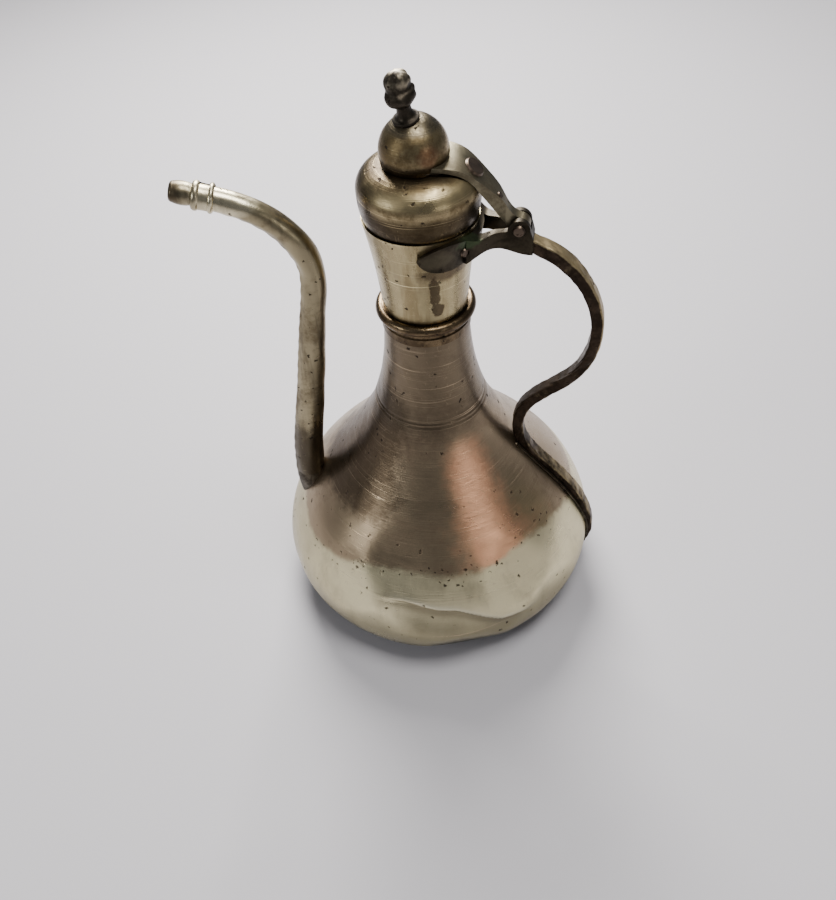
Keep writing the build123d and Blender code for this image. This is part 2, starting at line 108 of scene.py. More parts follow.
def outward(line):
    """Unit normals of a half section (radius, height) that runs upward on its outside."""
    run = headings(line)
    return np.stack([run[:, 1], -run[:, 0]], 1)


def wrapped(turn):
    """The same angle, between minus half a turn and half a turn."""
    return np.angle(np.exp(1j * turn))


def ease(value, low, high):
    """Smooth step from 0 at low to 1 at high."""
    t = np.clip((value - low) / (high - low), 0, 1)
    return t * t * (3 - 2 * t)


def plateau(value, rise, fall):
    """Smooth step up over the span rise, and down again over the span fall."""
    return ease(value, *rise) * (1 - ease(value, *fall))


def hump(value, width):
    """Bell curve: 1 at zero, and near 0 past twice the width."""
    return np.exp(-((value / width) ** 2))


def ripple(a, b, seed, terms=7):
    """Gentle wandering field of two parameters: a sum of sines at odd angles, about -1 to 1."""
    rng = np.random.default_rng(seed)
    total = np.zeros(np.broadcast(a, b).shape)
    for order in range(terms):
        wave = rng.integers(1, 3 + order)
        pace = rng.uniform(0.5, 1.6) * (1 + order / 2)
        total = total + np.sin(wave * a + pace * b + rng.uniform(0, TAU))
    return total / terms * 1.6


def grid_piece(name, grid, finish, body, replaced=(), loop=False, sharp=40, fields=None):
    """A mesh from a grid of points in millimetres that closes round its second parameter.

    Cell (i, j) joins points (i, j), (i, j+1), (i+1, j+1) and (i+1, j); with loop, the last
    row joins the first.  A row of equal points closes to one pole.  fields are values for
    the points, kept as attributes for the finish to read.
    """
    rows, columns = grid.shape[:2]
    i = np.arange(rows if loop else rows - 1)[:, None]
    j = np.arange(columns)[None, :]
    following = (i + 1) % rows
    beside = (j + 1) % columns
    here, there = i * columns, following * columns
    corners = [here + j, here + beside, there + beside, there + j]
    quads = np.stack(np.broadcast_arrays(*corners), -1).reshape(-1, 4)
    mesh = bpy.data.meshes.new(name)
    mesh.from_pydata((grid.reshape(-1, 3) * MM).tolist(), [], quads.tolist())
    for field, values in (fields or {}).items():
        layer = mesh.attributes.new(field, "FLOAT", "POINT")
        spread = np.broadcast_to(values, (rows, columns)).astype(np.float32)
        layer.data.foreach_set("value", spread.ravel())
    work = bmesh.new()
    work.from_mesh(mesh)
    bmesh.ops.remove_doubles(work, verts=work.verts, dist=1e-7)
    bmesh.ops.recalc_face_normals(work, faces=work.faces)
    work.to_mesh(mesh)
    work.free()
    mesh.polygons.foreach_set("use_smooth", np.ones(len(mesh.polygons), bool))
    mesh.set_sharp_from_angle(angle=math.radians(sharp))
    piece = bpy.data.objects.new(name, mesh)
    bpy.context.scene.collection.objects.link(piece)
    mesh.materials.append(finish)
    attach(piece, body)
    if replaced:
        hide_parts(*replaced)
    return piece


def turned(line, turns):
    """Surface of revolution: each point (radius, height) of the line at each turn about Z."""
    radius, height = line[:, 0][:, None], line[:, 1][:, None]
    return np.stack(np.broadcast_arrays(radius * np.cos(turns), radius * np.sin(turns), height), -1)


# ------------------------------------------------------------------ material tools
class Wiring:
    """Adds nodes to a tree; a value that is a socket is linked, any other is set."""

    def __init__(self, tree):
        self.tree = tree

    def add(self, kind, values=None, **settings):
        node = self.tree.nodes.new(kind)
        for key, value in settings.items():
            setattr(node, key, value)
        for key, value in (values or {}).items():
            if isinstance(value, bpy.types.NodeSocket):
                self.tree.links.new(value, node.inputs[key])
            else:
                node.inputs[key].default_value = value
        return node

    def noise(self, vector, scale, detail=4.0, rough=0.55, warp=0.0):
        values = {"Vector": vector, "Scale": scale, "Detail": detail, "Roughness": rough, "Distortion": warp}
        return self.add("ShaderNodeTexNoise", values).outputs["Fac"]

    def span(self, value, low, high, start=0.0, stop=1.0):
        values = {0: value, 1: low, 2: high, 3: start, 4: stop}
        return self.add("ShaderNodeMapRange", values, interpolation_type="SMOOTHSTEP").outputs[0]

    def math(self, operation, first, second=0.0, clamp=False):
        node = self.add("ShaderNodeMath", {0: first, 1: second}, operation=operation, use_clamp=clamp)
        return node.outputs[0]

    def mix(self, factor, first, second):
        node = self.add("ShaderNodeMix", data_type="RGBA")
        for index, value in ((0, factor), (6, first), (7, second)):
            if isinstance(value, bpy.types.NodeSocket):
                self.tree.links.new(value, node.inputs[index])
            else:
                node.inputs[index].default_value = value
        return node.outputs[2]

    def stretch(self, vector, scale, place=(0, 0, 0), turn=(0, 0, 0)):
        values = {"Vector": vector, "Location": place, "Rotation": turn, "Scale": scale}
        return self.add("ShaderNodeMapping", values).outputs[0]


def new_group(name, takes, gives):
    """Empty shader node group with named sockets; returns the group, its wiring and its ends."""
    group = bpy.data.node_groups.new(name, "ShaderNodeTree")
    kinds = {"value": "NodeSocketFloat", "vector": "NodeSocketVector", "colour": "NodeSocketColor"}
    for label, kind, default in takes:
        socket = group.interface.new_socket(label, in_out="INPUT", socket_type=kinds[kind])
        if default is not None:
            socket.default_value = default
    for label, kind in gives:
        group.interface.new_socket(label, in_out="OUTPUT", socket_type=kinds[kind])
    wiring = Wiring(group)
    return group, wiring, wiring.add("NodeGroupInput").outputs, wiring.add("NodeGroupOutput").inputs


def tarnish_group():
    """Cloudy tarnish: a broad noise warped by a finer one, with ragged edges."""
    takes = [("Vector", "vector", None), ("Size", "value", 30.0), ("Cover", "value", 0.5)]
    group, wire, given, out = new_group("Cloudy Tarnish", takes, [("Mask", "value"), ("Cloud", "value")])
    broad = wire.noise(given["Vector"], given["Size"], 5.0, 0.6, 0.6)
    fine = wire.noise(given["Vector"], wire.math("MULTIPLY", given["Size"], 9.0), 4.0, 0.7)
    both = wire.math("ADD", broad, wire.math("MULTIPLY", wire.math("SUBTRACT", fine, 0.5), 0.35))
    low = wire.math("SUBTRACT", 0.92, wire.math("MULTIPLY", given["Cover"], 0.85))
    mask = wire.add("ShaderNodeMapRange", {0: both, 1: low, 2: wire.math("ADD", low, 0.16)})
    wire.tree.links.new(mask.outputs[0], out["Mask"])
    wire.tree.links.new(both, out["Cloud"])
    return group


def pits_group():
    """Small dark pits: Voronoi cells, a few of them chosen, gathered where a noise is high."""
    takes = [("Vector", "vector", None), ("Size", "value", 260.0), ("Amount", "value", 0.3)]
    group, wire, given, out = new_group("Small Pits", takes, [("Mask", "value")])
    wobble = wire.add("ShaderNodeTexNoise", {"Vector": given["Vector"], "Scale": 420.0, "Detail": 2.0})
    stray = {0: wobble.outputs["Color"], 1: (0.004, 0.004, 0.004)}
    shift = wire.add("ShaderNodeVectorMath", stray, operation="MULTIPLY").outputs[0]
    moved = wire.add("ShaderNodeVectorMath", {0: given["Vector"], 1: shift}, operation="ADD").outputs[0]
    cells = wire.add("ShaderNodeTexVoronoi", {"Vector": moved, "Scale": given["Size"], "Randomness": 1.0})
    spot = wire.span(cells.outputs["Distance"], 0.30, 0.14)
    pick = wire.add("ShaderNodeSeparateColor", {0: cells.outputs["Color"]}).outputs[0]
    gather = wire.span(wire.noise(given["Vector"], 34.0, 3.0), 0.40, 0.66, 0.15, 1.0)
    chance = wire.math("MULTIPLY", given["Amount"], gather)
    chosen = wire.math("LESS_THAN", pick, chance)
    wire.tree.links.new(wire.math("MULTIPLY", spot, chosen), out["Mask"])
    return group


def rings_group():
    """Turning marks: noise drawn out round the axis and packed close along it; the Bright output is a painted
    sheen on the marks, in patches.
    """
    takes = [("Vector", "vector", None), ("Pitch", "value", 1300.0), ("Breaks", "value", 14.0)]
    group, wire, given, out = new_group("Turning Marks", takes, [("Height", "value"), ("Bright", "value")])
    parts = wire.add("ShaderNodeSeparateXYZ", {0: given["Vector"]}).outputs
    flat = wire.add("ShaderNodeCombineXYZ", {0: parts[0], 1: parts[1]}).outputs[0]
    radius = wire.add("ShaderNodeVectorMath", {0: flat}, operation="LENGTH").outputs["Value"]
    along = wire.math("MULTIPLY", wire.math("SUBTRACT", parts[2], radius), given["Pitch"])
    side = wire.math("MULTIPLY", parts[0], given["Breaks"])
    front = wire.math("MULTIPLY", parts[1], given["Breaks"])
    drawn = wire.add("ShaderNodeCombineXYZ", {0: side, 1: front, 2: along}).outputs[0]
    height = wire.noise(drawn, 1.0, 3.0, 0.65)
    patch = wire.span(wire.noise(given["Vector"], 20.0, 2.0), 0.40, 0.56)
    # painted sheen: bright streaks on the marks, in patches
    bright = wire.math("MULTIPLY", wire.span(height, 0.60, 0.72), patch)
    wire.tree.links.new(height, out["Height"])
    wire.tree.links.new(bright, out["Bright"])
    return group


def scratches_group():
    """Fine handling scratches: two crossed noises, each drawn out into short threads."""
    takes = [("Vector", "vector", None), ("Size", "value", 1.0)]
    group, wire, given, out = new_group("Fine Scratches", takes, [("Mask", "value")])
    masks = []
    for turn, scale in (((0.5, 0.3, 0.9), (900, 45, 260)), ((-0.7, 1.1, -0.4), (60, 800, 300))):
        drawn = wire.stretch(given["Vector"], scale, turn=turn)
        masks.append(wire.span(wire.noise(drawn, given["Size"], 2.0, 0.5), 0.66, 0.74))
    wire.tree.links.new(wire.math("MAXIMUM", masks[0], masks[1]), out["Mask"])
    return group


EFFECTS = {}


def effect(wire, name, values):
    """One of the shared effects, placed in a material with its own values."""
    builders = {
        "tarnish": tarnish_group, "pits": pits_group, "rings": rings_group, "scratches": scratches_group,
    }
    if name not in EFFECTS:
        EFFECTS[name] = builders[name]()
    return wire.add("ShaderNodeGroup", values, node_tree=EFFECTS[name]).outputs


def shade(colour):
    """A colour with full alpha, for a socket."""
    return (*colour, 1.0)


def metal(name, tones, tarnish, pits, rough, relief, rings=0.0, zones=None):
    """Worn metal in three tones, bright, dull and dark, with pits, scratches and a little relief.

    tarnish is (size, cover), pits (size, amount), rough (least, most), relief (height,
    strength), and rings the height of the turning marks.  zones(wear) gives layers of
    (mask, tone, strength) for local wear and painted light, laid over the tones in order.
    """
    material = bpy.data.materials.new(name)
    material.use_nodes = True
    wire = Wiring(material.node_tree)
    shader = material.node_tree.nodes["Principled BSDF"]
    vector = wire.add("ShaderNodeTexCoord").outputs["Object"]
    bright, dull, dark = (shade(tone) for tone in tones)
    size, cover = tarnish
    cloud = effect(wire, "tarnish", {"Vector": vector, "Size": size, "Cover": cover})
    deep = effect(wire, "tarnish", {"Vector": vector, "Size": size * 2.3, "Cover": cover * 0.62})
    spots = effect(wire, "pits", {"Vector": vector, "Size": pits[0], "Amount": pits[1]})["Mask"]
    lines = effect(wire, "scratches", {"Vector": vector})["Mask"]
    colour = wire.mix(cloud["Mask"], bright, dull)
    colour = wire.mix(wire.math("MULTIPLY", deep["Mask"], 0.6), colour, dark)
    level = wire.span(cloud["Cloud"], 0.25, 0.8, rough[0], rough[1])
    height = wire.math("MULTIPLY", wire.noise(vector, 110.0, 5.0, 0.6), relief[0])
    for mask, tone, strength in (zones(Wear(wire, vector)) if zones else ()):
        colour = wire.mix(wire.math("MULTIPLY", mask, strength), colour, shade(tone))
    if rings:
        marks = effect(wire, "rings", {"Vector": vector})
        height = wire.math("ADD", height, wire.math("MULTIPLY", marks["Height"], rings))
        # painted sheen: a paler copy of the bright tone laid along the turning marks
        pale = shade(tuple(min(1.0, 1.9 * part) for part in tones[0]))
        colour = wire.mix(wire.math("MULTIPLY", marks["Bright"], 0.65), colour, pale)
        level = wire.math("SUBTRACT", level, wire.math("MULTIPLY", marks["Bright"], 0.1))
    colour = wire.mix(wire.math("MULTIPLY", lines, 0.22), colour, bright)
    colour = wire.mix(wire.math("MULTIPLY", spots, 0.88), colour, shade((0.03, 0.022, 0.016)))
    level = wire.math("ADD", level, wire.math("MULTIPLY", spots, 0.3), clamp=True)
    height = wire.math("SUBTRACT", height, wire.math("MULTIPLY", spots, 0.5))
    bump = wire.add("ShaderNodeBump", {"Strength": relief[1], "Distance": 0.0006, "Height": height})
    wire.tree.links.new(colour, shader.inputs["Base Color"])
    wire.tree.links.new(level, shader.inputs["Roughness"])
    wire.tree.links.new(bump.outputs[0], shader.inputs["Normal"])
    shader.inputs["Metallic"].default_value = 1.0
    return material


# ------------------------------------------------------------------ local wear and painted light
class Wear:
    """Masks of local wear and painted light in one material, from its object coordinates and mesh attributes.

    The methods that give a ragged patch end with its noise scale, how far the noise moves
    the edge, and how soft the edge is.
    """

    def __init__(self, wire, vector):
        self.wire = wire
        self.vector = vector

    def field(self, name):
        """Smooth mask kept on the mesh's points."""
        return self.wire.add("ShaderNodeAttribute", attribute_name=name).outputs["Fac"]

    def both(self, first, second):
        return self.wire.math("MULTIPLY", first, second)

    def spot(self, centre, size):
        """Smooth mask round a place, with its half sizes; both in millimetres."""
        scale = tuple(1 / MM / half for half in size)
        place = tuple(-part / half for part, half in zip(centre, size))
        moved = self.wire.stretch(self.vector, scale, place)
        reach = self.wire.add("ShaderNodeVectorMath", {0: moved}, operation="LENGTH").outputs["Value"]
        return self.wire.span(reach, 1.25, 0.2)

    def band(self, low, high, soft):
        """Smooth mask between two heights in millimetres."""
        z = self.wire.add("ShaderNodeSeparateXYZ", {0: self.vector}).outputs[2]
        rise = self.wire.span(z, (low - soft) * MM, (low + soft) * MM)
        fall = self.wire.span(z, (high + soft) * MM, (high - soft) * MM)
        return self.both(rise, fall)

    def ragged(self, mask, scale, depth, edge):
        """Turns a smooth mask into a patch with a ragged edge where the mask is one half."""
        noise = self.wire.noise(self.vector, scale, 6.0, 0.65)
        stray = self.wire.math("MULTIPLY", self.wire.math("SUBTRACT", noise, 0.5), depth)
        return self.wire.span(self.wire.math("ADD", mask, stray), 0.5 - edge, 0.5 + edge)

    def near(self, centre, size, *edge):
        """Ragged patch round a place."""
        return self.ragged(self.spot(centre, size), *edge)

    def belt(self, low, high, soft, *edge):
        """Ragged belt between two heights."""
        return self.ragged(self.band(low, high, soft), *edge)

    def runs(self, scale, share, lengthwise):
        """Streaks drawn out up and down the piece; share is how much of it they cover."""
        drawn = self.wire.stretch(self.vector, (1, 1, lengthwise))
        noise = self.wire.noise(drawn, scale, 4.0, 0.6)
        return self.wire.span(noise, 0.58 - share * 0.25, 0.80 - share * 0.25)


TIN_YELLOW = (0.74, 0.67, 0.43)
TIN_PALE = (0.53, 0.46, 0.265)
TIN_GREY = (0.22, 0.185, 0.115)
TAUPE_DARK = (0.062, 0.042, 0.026)
COPPER = (0.90, 0.47, 0.27)
SOOT = (0.022, 0.016, 0.012)


def body_wear_and_shade(wear):
    """Copper where it is rubbed bare and yellow tin on the belly; painted shade over the lower belly and foot
    and in the long dent's hollow, a painted highlight on the dent's crest, and a painted dark reflection over
    the upper shoulder and neck.
    """
    belly = wear.ragged(wear.field("belly"), 70.0, 0.5, 0.12)
    # mask for painted shade: the belly darker towards the bottom
    low_belly_shade = wear.belt(-30, 40, 16, 24.0, 1.2, 0.5)
    spout_side = wear.near((-84, -26, 40), (40, 60, 52), 30.0, 0.9, 0.5)
    dirt = {"Vector": wear.vector, "Size": 300.0, "Amount": wear.field("edge")}
    return (
        (wear.near((68, -48, 92), (36, 34, 44), 40.0, 0.8, 0.45), (0.36, 0.28, 0.15), 0.7),
        (wear.ragged(wear.field("bare"), 46.0, 1.1, 0.34), COPPER, 0.78),
        (belly, TIN_YELLOW, 0.94),
        (wear.both(belly, wear.runs(48.0, 0.4, 0.35)), TIN_GREY, 0.4),
        # painted shade on the lower belly
        (wear.both(belly, low_belly_shade), (0.27, 0.235, 0.145), 0.7),
        (wear.both(belly, spout_side), (0.36, 0.32, 0.20), 0.7),
        # painted shadow where the pot meets the floor, darkest at the foot
        (wear.belt(-30, 17, 13, 50.0, 0.5, 0.4), (0.12, 0.10, 0.064), 0.88),
        # painted shade in the hollow of the long dent
        (wear.ragged(wear.field("dent_shade"), 60.0, 0.5, 0.42), (0.20, 0.17, 0.11), 0.75),
        # painted highlight along the crest of the long dent
        (wear.field("crest"), (0.85, 0.8, 0.6), 0.6),
        (wear.ragged(wear.field("stain"), 90.0, 0.6, 0.15), TAUPE_DARK, 0.8),
        # painted dark reflection over the upper shoulder and neck
        (wear.belt(138, 230, 22, 60.0, 0.5, 0.35), (0.06, 0.048, 0.033), 0.68),
        (effect(wear.wire, "pits", dirt)["Mask"], SOOT, 0.85),
    )


def collar_wear_and_shade(wear):
    """Yellow streaks, a brown stain on the front, painted shade under the clasp, and darker at the foot."""
    upper = wear.spot((9.5, -22, 230), (3.6, 9, 14))
    lower = wear.spot((10.5, -21, 219), (4, 8, 6))
    stain = wear.ragged(wear.wire.math("MAXIMUM", upper, lower), 210.0, 1.5, 0.16)
    return (
        (wear.runs(170.0, 0.66, 0.10), (0.21, 0.16, 0.08), 0.8),
        (wear.belt(205, 262, 6, 110.0, 1.5, 0.72), (0.25, 0.195, 0.105), 0.6),
        (stain, (0.05, 0.034, 0.02), 0.88),
        # painted shade under the clasp
        (wear.near((17, -20, 242), (20, 18, 7), 120.0, 0.9, 0.3), TAUPE_DARK, 0.8),
        # darker at the collar's foot
        (wear.belt(200, 211, 3, 190.0, 1.2, 0.3), TAUPE_DARK, 0.7),
    )


def lid_wear_and_shade(wear):
    """Pale on the dome's crown; painted shade at the rim and in the crease, brown on top and at the spout's
    side.
    """
    return (
        (wear.belt(277.5, 284, 2.2, 60.0, 1.0, 0.4), (0.40, 0.325, 0.18), 0.8),
        # painted shade on the lower dome, where the gap at the rim lies in shadow
        (wear.belt(240, 273.5, 4.5, 60.0, 0.7, 0.4), (0.030, 0.020, 0.011), 0.88),
        # painted shade in the crease round the ball
        (wear.belt(285, 291.5, 2.4, 110.0, 0.7, 0.4), (0.045, 0.033, 0.021), 0.8),
        (wear.belt(303.5, 320, 2.5, 120.0, 0.6, 0.3), (0.12, 0.105, 0.075), 0.75),
        (wear.near((8, -13, 296), (7, 8, 6), 120.0, 1.0, 0.4), (0.20, 0.085, 0.05), 0.45),
        (wear.near((-26, -8, 272), (22, 30, 26), 80.0, 0.9, 0.4), (0.055, 0.038, 0.022), 0.8),
    )


def spout_wear(wear):
    """Rubbed pale over the bend, streaked along the tube, black at the foot and the nozzle."""
    return (
        (wear.near((-90, -19, 276), (26, 16, 13), 90.0, 0.9, 0.3), (0.70, 0.63, 0.44), 0.85),
        (wear.runs(150.0, 0.5, 0.08), (0.10, 0.08, 0.05), 0.7),
        (wear.belt(40, 128, 26, 90.0, 0.9, 0.30), (0.045, 0.035, 0.024), 0.85),
        (wear.near((-110, -23, 279), (7, 12, 12), 200.0, 0.8, 0.3), (0.06, 0.045, 0.03), 0.7),
    )


def clasp_wear(wear):
    """A paler leaf, and verdigris where the arm leaves the collar."""
    return (
        (wear.near((12, -26, 252), (12, 9, 6), 160.0, 1.3, 0.35), (0.10, 0.088, 0.058), 0.45),
        (wear.near((25, -16, 257), (14, 8, 4), 260.0, 1.5, 0.3), (0.055, 0.085, 0.04), 0.6),
    )


def rubbed(tone):
    """Wear of a casting or forging: bright where its worn attribute says hands have been; on the knob that
    attribute also holds a painted highlight on the side towards the key light.
    """
    return lambda wear: ((wear.ragged(wear.field("worn"), 150.0, 1.3, 0.3), tone, 0.85),)


def bronze(name, base, zones):
    """Recipe of a dark bronze."""
    return {
        "name": name, "tones": (base, tuple(0.55 * part for part in base), SOOT), "zones": zones,
        "tarnish": (60.0, 0.6), "pits": (320.0, 0.5), "rough": (0.36, 0.62), "relief": (0.9, 0.45),
    }


RECIPES = {
    "body": {
        "name": "Rubbed Tin over Copper", "zones": body_wear_and_shade, "rings": 0.75,
        "tones": ((0.35, 0.27, 0.175), (0.235, 0.175, 0.115), TAUPE_DARK),
        "tarnish": (16.0, 0.5), "pits": (230.0, 0.24), "rough": (0.25, 0.45), "relief": (0.3, 0.34),
    },
    "collar": {
        "name": "Bright Collar Tin", "zones": collar_wear_and_shade, "rings": 0.4,
        "tones": (TIN_PALE, (0.42, 0.36, 0.235), (0.15, 0.11, 0.065)),
        "tarnish": (44.0, 0.45), "pits": (300.0, 0.4), "rough": (0.2, 0.46), "relief": (0.5, 0.3),
    },
    "lid": {
        "name": "Brassy Lid Tin", "zones": lid_wear_and_shade, "rings": 0.5,
        "tones": ((0.34, 0.27, 0.15), (0.155, 0.115, 0.058), (0.05, 0.033, 0.018)),
        "tarnish": (54.0, 0.6), "pits": (230.0, 0.5), "rough": (0.24, 0.5), "relief": (0.6, 0.4),
    },
    "spout": {
        "name": "Dull Spout Tin", "zones": spout_wear,
        "tones": ((0.30, 0.255, 0.16), (0.18, 0.145, 0.087), (0.065, 0.05, 0.031)),
        "tarnish": (34.0, 0.5), "pits": (300.0, 0.4), "rough": (0.24, 0.5), "relief": (0.7, 0.4),
    },
    "ring": {
        "name": "Dark Neck Bronze",
        "tones": ((0.16, 0.115, 0.065), (0.075, 0.052, 0.03), SOOT),
        "tarnish": (80.0, 0.6), "pits": (360.0, 0.5), "rough": (0.24, 0.5), "relief": (0.8, 0.5),
    },
    "strap": {
        "name": "Dull Strap Tin",
        "tones": ((0.21, 0.185, 0.12), (0.13, 0.11, 0.07), (0.05, 0.04, 0.026)),
        "tarnish": (62.0, 0.55), "pits": (320.0, 0.5), "rough": (0.28, 0.54), "relief": (0.8, 0.45),
    },
    "solder": {
        "name": "Old Grey Solder",
        "tones": ((0.10, 0.085, 0.062), (0.05, 0.04, 0.028), (0.022, 0.017, 0.012)),
        "tarnish": (120.0, 0.6), "pits": (460.0, 0.6), "rough": (0.4, 0.66), "relief": (1.6, 0.8),
    },
    "rivet": {
        "name": "Rivet Metal",
        "tones": ((0.105, 0.078, 0.058), (0.06, 0.044, 0.032), SOOT),
        "tarnish": (160.0, 0.5), "pits": (500.0, 0.4), "rough": (0.3, 0.56), "relief": (0.8, 0.5),
    },
    "handle": bronze("Forged Handle Bronze", (0.05, 0.035, 0.024), rubbed((0.42, 0.335, 0.19))),
    "clasp": bronze("Clasp Bronze", (0.044, 0.036, 0.024), clasp_wear),
    # the knob's bright tone is partly wear on its top and partly a painted highlight
    "finial": bronze("Knob Bronze", (0.060, 0.050, 0.038), rubbed((0.55, 0.48, 0.35))),
}
FINISHES = {}


def finish(name):
    """Each finish is made once, when the first piece asks for it."""
    if name not in FINISHES:
        FINISHES[name] = metal(**RECIPES[name])
    return FINISHES[name]


def dress(nodes, name):
    """Gives CAD pieces their finish."""
    for node in nodes:
        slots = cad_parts[node].data.materials
        slots.clear()
        slots.append(finish(name))


# ------------------------------------------------------------------ sizes a user may change
def millimetres(name, description, default, low, high):
    """Property for one length of a shape."""
    text = f"{description}, in millimetres"
    return bpy.props.FloatProperty(name=name, description=text, default=default, min=low, max=high)


SPOUT_TURN = math.radians(192)


class ShellSizes(bpy.types.PropertyGroup):
    wall: millimetres("Wall", "Thickness of the sheet", 1.6, 0.5, 4)
    seam: millimetres("Seam Height", "Height of the belly seam", 71.0, 60, 90)
    wander: millimetres("Hand Wander", "How far the hammered sheet strays inward", 0.45, 0, 2)
    dents: millimetres("Dent Depth", "Depth of the deepest dent", 4.4, 0, 6)
    groove: millimetres("Groove Depth", "Depth of the two engraved lines", 0.4, 0, 1)


class HandleSizes(bpy.types.PropertyGroup):
    width: millimetres("Width", "Width of the bar", 8.6, 4, 14)
    squareness: bpy.props.FloatProperty(
        name="Squareness", description="2 is oval, higher is squarer", default=6.0, min=2, max=12)
    hammered: millimetres("Hammered", "Unevenness left by forging", 0.28, 0, 1)


class SpoutSizes(bpy.types.PropertyGroup):
    turn: bpy.props.FloatProperty(
        name="Turn", description="Side of the pot the spout is on", default=SPOUT_TURN, subtype="ANGLE")
    seam: millimetres("Brazed Seam", "Height of the seam along the tube", 0.45, 0, 1)
    wall: millimetres("Wall", "Thickness of the tube's sheet", 1.3, 0.5, 3)


class StageSizes(bpy.types.PropertyGroup):
    floor: bpy.props.FloatVectorProperty(
        name="Floor Colour", description="Colour of the floor", default=(0.50, 0.49, 0.52), subtype="COLOR")
    key: bpy.props.FloatProperty(
        name="Key Light", description="Power of the soft light behind and above", default=42.0, min=0)
    lens: millimetres("Lens", "Focal length of the camera", 34.4, 10, 200)


# ------------------------------------------------------------------ pot body
FOOT_RADIUS = 67.8
BELLY_RADIUS = 97.5
BELLY_HEIGHT = 33.5
SHOULDER_MARKS = ((94.0, 50.6), (85.1, 67.8), (57.3, 102.1), (33.8, 139.8), (24.2, 180.0), (21.9, 206.8))
BASE_ROWS = 100  # rows of the outline on the middle of the flat base, where few are needed
GROOVE_HEIGHTS = (145.2, 147.6)
GROOVE_WIDTH = 0.42

# flat spots left by knocks: turn and tilt in degrees, height and depth in millimetres; the
# depths are for a sheet whose deepest dent is KNOCK_DENT
KNOCKS = (
    (-118, 52, 4, 1.3), (-104, 38, -4, 1.2), (-96, 64, 6, 0.9), (-46, 60, 2, 1.3), (-34, 40, -6, 1.5),
    (-70, 24, -10, 1.6), (-14, 52, 4, 0.8), (40, 46, 0, 0.9), (104, 38, 5, 1.0), (148, 50, -4, 1.1),
)
KNOCK_DENT = 3
KNOCK_SOFT = 0.45
KNOCK_REACH = (26, 48)

# crest of the long dent on the front of the belly: turn in degrees, height in millimetres
CREST_TURNS = (-104, -89, -74, -58, -46)
CREST_HEIGHTS = (59.5, 58.6, 54.4, 41.5, 38.0)


def body_line(count=900):
    """Outer half section: flat base, quarter ellipse to the belly, one long curve to the neck."""
    flat = np.stack([np.linspace(0, FOOT_RADIUS, 40), np.zeros(40)], 1)
    t = np.linspace(-math.pi / 2, 0, 120)[1:]
    swell = FOOT_RADIUS + (BELLY_RADIUS - FOOT_RADIUS) * np.cos(t)
    round_belly = np.stack([swell, BELLY_HEIGHT * (1 + np.sin(t))], 1)
    marks = [(BELLY_RADIUS, BELLY_HEIGHT), *SHOULDER_MARKS]
    rise = curve_through(marks, 600, (0, 1), (-0.04, 1))[1:]
    return respaced(np.vstack([flat, round_belly, rise]), count)


def knock(points, line, turn, height, tilt, depth):
    """Push past a plane laid against the belly: how far each point lies beyond it, softly cut off."""
    belly = line[line[:, 1] > 1]
    radius = np.interp(height, belly[:, 1], belly[:, 0])
    facing = outward(belly)
    slope = np.interp(height, belly[:, 1], np.arctan2(facing[:, 1], facing[:, 0]))
    a, b = math.radians(turn), slope + math.radians(tilt)
    normal = np.array([math.cos(a) * math.cos(b), math.sin(a) * math.cos(b), math.sin(b)])
    spot = np.array([radius * math.cos(a), radius * math.sin(a), height])
    over = (points - spot) @ normal + depth
    near = 1 - ease(np.linalg.norm(points - spot, axis=-1), *KNOCK_REACH)
    return (near * KNOCK_SOFT * np.logaddexp(0, over / KNOCK_SOFT))[..., None] * normal


def below_crest(turns, heights):
    """The long dent: distance below its crest, and its share of full depth round the pot."""
    degrees = np.degrees(wrapped(turns))
    crest = np.interp(degrees, CREST_TURNS, CREST_HEIGHTS)
    return crest - heights + 0.6 * np.sin(degrees / 4.0), plateau(degrees, (-106, -84), (-58, -40))


def pushed_in(points, line, turns, heights, sizes):
    """How the sheet strays from true: knocks, the long dent and a slow wander, always inward."""
    moved = np.zeros_like(points)
    for turn, height, tilt, depth in KNOCKS:
        moved = moved - knock(points + moved, line, turn, height, tilt, depth * sizes.dents / KNOCK_DENT)
    away_from_ends = plateau(heights, (2, 12), (176, 194))
    slow = (0.5 + 0.5 * ripple(turns, heights / 24, 5)) * sizes.wander * away_from_ends
    blows = (0.5 + 0.5 * ripple(turns * 4, heights / 7, 9, 9)) * 0.10 * away_from_ends
    below, share = below_crest(turns, heights)
    crease = sizes.dents * share * plateau(below, (-0.6, 3.0), (8, 26))
    radial = np.stack([np.cos(turns), np.sin(turns), np.zeros_like(turns)], -1)
    return moved - (slow + blows + crease)[..., None] * radial


def wear_fields(around, height, seam):
    """Where the sheet is bruised, rubbed or stained, and where the long dent gets painted shade in its hollow
    and a painted highlight on its crest: smooth masks for its points.
    """
    wave = 4.0 * np.sin(around * 2 + 0.4) + 2.5 * np.sin(around * 5 + 1.1)
    below, share = below_crest(around, height)
    streak_turn = np.interp(height, (60, 100, 140), (-47, -55, -52))
    from_streak = np.degrees(wrapped(around - np.radians(streak_turn)))
    from_stain = 1 - np.cos(around - math.radians(-150))
    return {
        # painted shade, strongest just below the dent's crest
        "dent_shade": share * (hump(below - 3.5, 4.0) + 0.4 * plateau(below, (4, 8), (14, 30))),
        # painted highlight: a narrow band on the dent's crest
        "crest": share * hump(below + 1.2, 1.6),
        "belly": 1 - ease(height + wave, 58, 86),
        "edge": hump(height + wave - seam, 4.5),
        "bare": hump(from_streak, 19) * plateau(height, (52, 84), (118, 150)),
        "stain": 0.7 * hump(from_stain, 0.5) * plateau(height, (74, 100), (150, 190)),
    }


